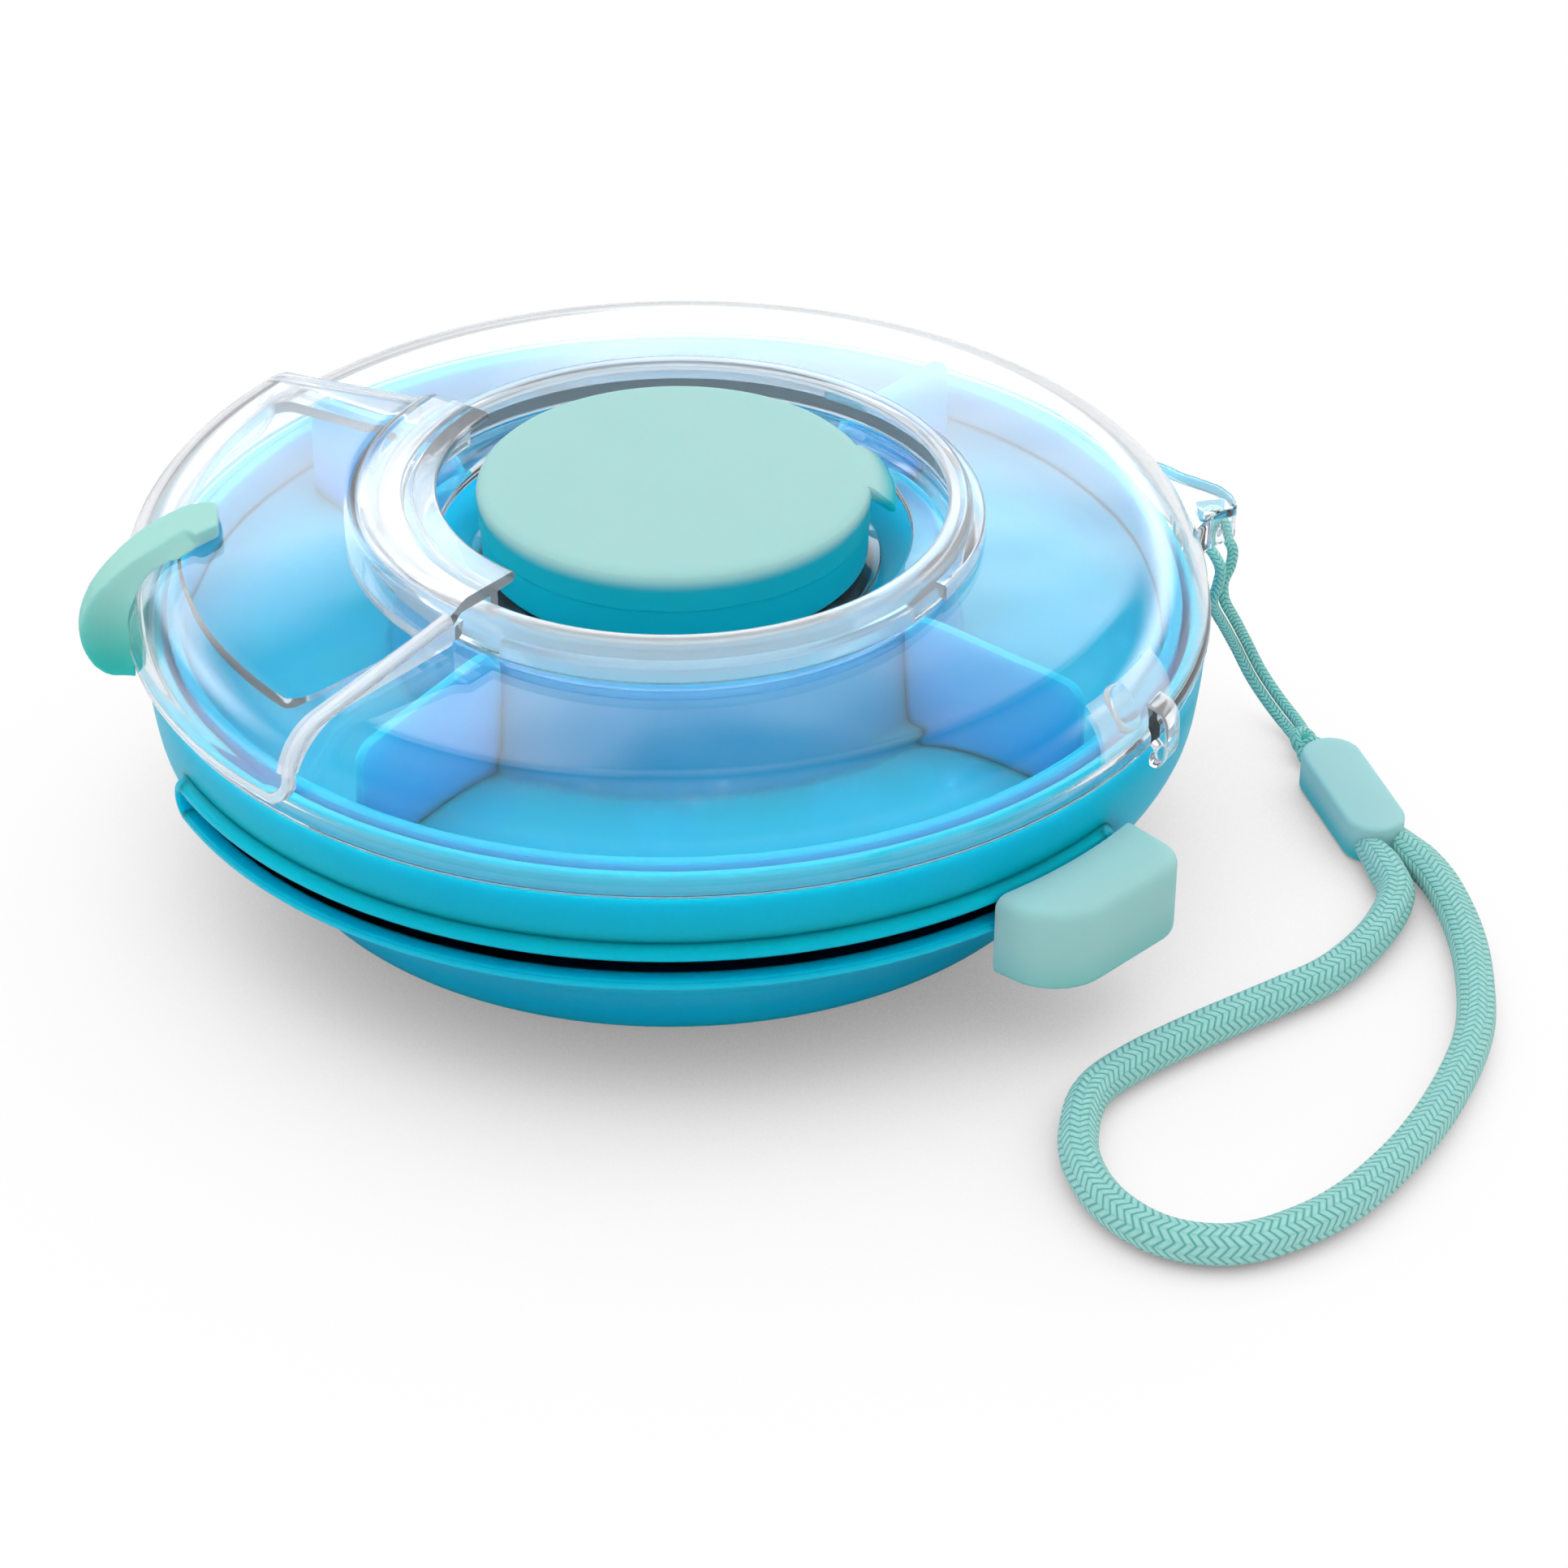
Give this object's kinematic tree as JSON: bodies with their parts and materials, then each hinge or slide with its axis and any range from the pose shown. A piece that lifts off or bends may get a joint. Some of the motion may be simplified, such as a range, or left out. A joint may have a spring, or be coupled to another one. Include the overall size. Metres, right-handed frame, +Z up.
{
  "type": "toddler snack container",
  "caption": "Round snack container: a side lever turns the compartment tray, and a clear lid has a swinging door, a capped dip cup in the middle and a braided wrist lanyard",
  "frame": {"origin": "on the floor, at the centre of the foot ring, on the axis that the tray, lever and door turn about", "axes": "+Z up, +X to the right as seen from the front, where the lever slot is, +Y away from the front"},
  "size_m": [0.2125, 0.2039, 0.0572],
  "materials": {
    "tub_blue": "moulded polypropylene, satin gloss",
    "tray_blue": "moulded polypropylene, satin gloss",
    "clear_plastic": "clear moulded copolyester, polished",
    "mint_rubber": "soft-touch thermoplastic elastomer, matt",
    "cap_silicone": "moulded silicone, matt",
    "mint_braid": "braided polyester cord"
  },
  "bodies": {
    "base": {"base_shell": "tub_blue"},
    "tray": {"compartment_tray": "tray_blue", "tray_hub": "tray_blue", "cup_socket": "tray_blue"},
    "lever": {"drive_plate": "tub_blue", "lever_grip": "mint_rubber"},
    "lid": {"lid_dome": "clear_plastic", "anchor_cord": "mint_braid", "anchor_knot": "mint_braid", "cord_sleeve": "mint_rubber", "wrist_loop": "mint_braid"},
    "door": {"door_panel": "clear_plastic", "door_tab": "mint_rubber"},
    "cup": {"dip_cup": "clear_plastic"},
    "cap": {"cup_cap": "cap_silicone"}
  },
  "joints": [
    {"name": "lever_swing", "type": "hinge", "parent": "base", "child": "lever", "pos_m": [0, 0, 0.0236], "axis": [0, 0, 1], "range_deg": [-90, 0]},
    {"name": "tray_turn", "type": "hinge", "parent": "base", "child": "tray", "pos_m": [0, 0, 0.019], "axis": [0, 0, 1], "range_deg": [-90, 0]},
    {"name": "lid_lift", "type": "slide", "parent": "base", "child": "lid", "axis": [0, 0, 1], "range_m": [0, 0.05]},
    {"name": "door_swing", "type": "hinge", "parent": "lid", "child": "door", "pos_m": [0, 0, 0.0545], "axis": [0, 0, 1], "range_deg": [-90, 0]},
    {"name": "cup_lift", "type": "slide", "parent": "tray", "child": "cup", "axis": [0, 0, 1], "range_m": [0, 0.06]},
    {"name": "cap_lift", "type": "slide", "parent": "cup", "child": "cap", "axis": [0, 0, 1], "range_m": [0, 0.03]}
  ],
  "couplings": [
    {"joint": "tray_turn", "follows": "lever_swing", "ratio": 1}
  ]
}
